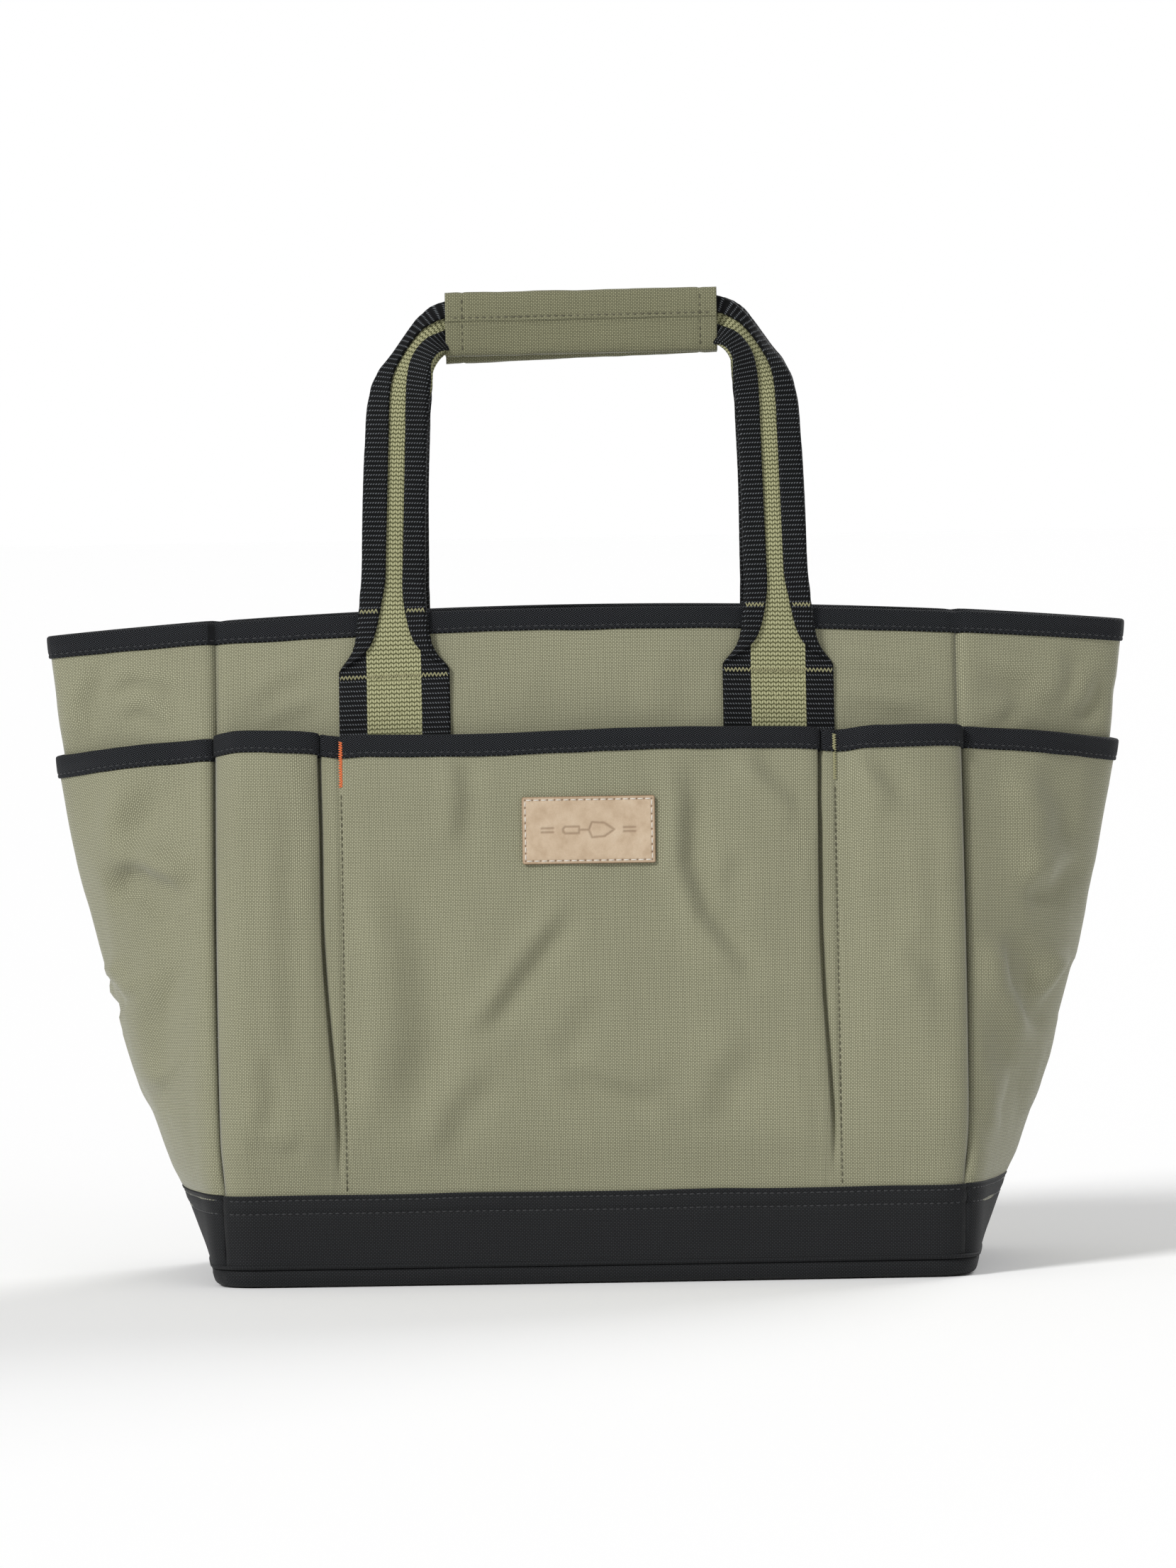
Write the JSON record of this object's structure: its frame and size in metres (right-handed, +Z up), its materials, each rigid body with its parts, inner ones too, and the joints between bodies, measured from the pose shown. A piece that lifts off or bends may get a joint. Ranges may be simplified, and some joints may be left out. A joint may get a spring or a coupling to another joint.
{
  "type": "garden tool bag",
  "caption": "Standing fabric tote for garden hand tools: lens-shaped open mouth, folded gussets, outside pockets all round, dark base band and two webbing carrying handles with sewn grips.",
  "frame": {"origin": "centre of the underside of the base, on the ground plane", "axes": "+Z up, +X along the length of the mouth towards the right-hand gusset, -Y out of the side that carries the leather patch"},
  "size_m": [0.49, 0.1732, 0.447],
  "materials": {
    "bag_fabric": "plain weave polyester, olive khaki, matt with a faint sheen",
    "black_fabric": "plain weave polyester, black",
    "binding_tape": "herringbone twill tape, black, slight sheen",
    "webbing": "ribbed polyester webbing, olive centre with black edges",
    "khaki_thread": "polyester sewing thread, khaki",
    "black_thread": "polyester sewing thread, black",
    "orange_thread": "polyester sewing thread, orange",
    "white_thread": "polyester sewing thread, off-white",
    "patch_leather": "smooth vegetable-tanned leather, light tan",
    "board": "plain stiffening board, hidden"
  },
  "bodies": {
    "bag": {"front_panel": "bag_fabric", "back_panel": "bag_fabric", "left_gusset": "bag_fabric", "right_gusset": "bag_fabric", "front_pocket": "bag_fabric", "back_pocket": "bag_fabric", "left_side_pocket": "bag_fabric", "right_side_pocket": "bag_fabric", "front_base_band": "black_fabric", "back_base_band": "black_fabric", "left_base_band": "black_fabric", "right_base_band": "black_fabric", "base_welt": "black_fabric", "base_panel": "black_fabric", "rim_binding": "binding_tape", "front_pocket_binding": "binding_tape", "back_pocket_binding": "binding_tape", "left_pocket_binding": "binding_tape", "right_pocket_binding": "binding_tape", "corner_seam_bindings": "binding_tape", "front_handle_tails": "webbing", "back_handle_tails": "webbing", "front_tail_stitching": "khaki_thread", "back_tail_stitching": "khaki_thread", "khaki_bartacks": "khaki_thread", "divider_stitching": "khaki_thread", "band_stitching": "black_thread", "orange_bartack": "orange_thread", "patch_stitching": "white_thread", "leather_patch": "patch_leather", "base_board": "board"},
    "front_handle": {"front_handle_webbing": "webbing", "front_grip_cover": "bag_fabric", "front_grip_stitching": "khaki_thread", "front_leg_bartacks": "khaki_thread"},
    "back_handle": {"back_handle_webbing": "webbing", "back_grip_cover": "bag_fabric", "back_grip_stitching": "khaki_thread", "back_leg_bartacks": "khaki_thread"}
  },
  "joints": [
    {"name": "front_handle_fold", "type": "hinge", "parent": "bag", "child": "front_handle", "pos_m": [0, -0.0538, 0.276], "axis": [1, 0, 0], "range_deg": [0, 150]},
    {"name": "back_handle_fold", "type": "hinge", "parent": "bag", "child": "back_handle", "pos_m": [0, 0.0538, 0.276], "axis": [-1, 0, 0], "range_deg": [0, 150]}
  ]
}
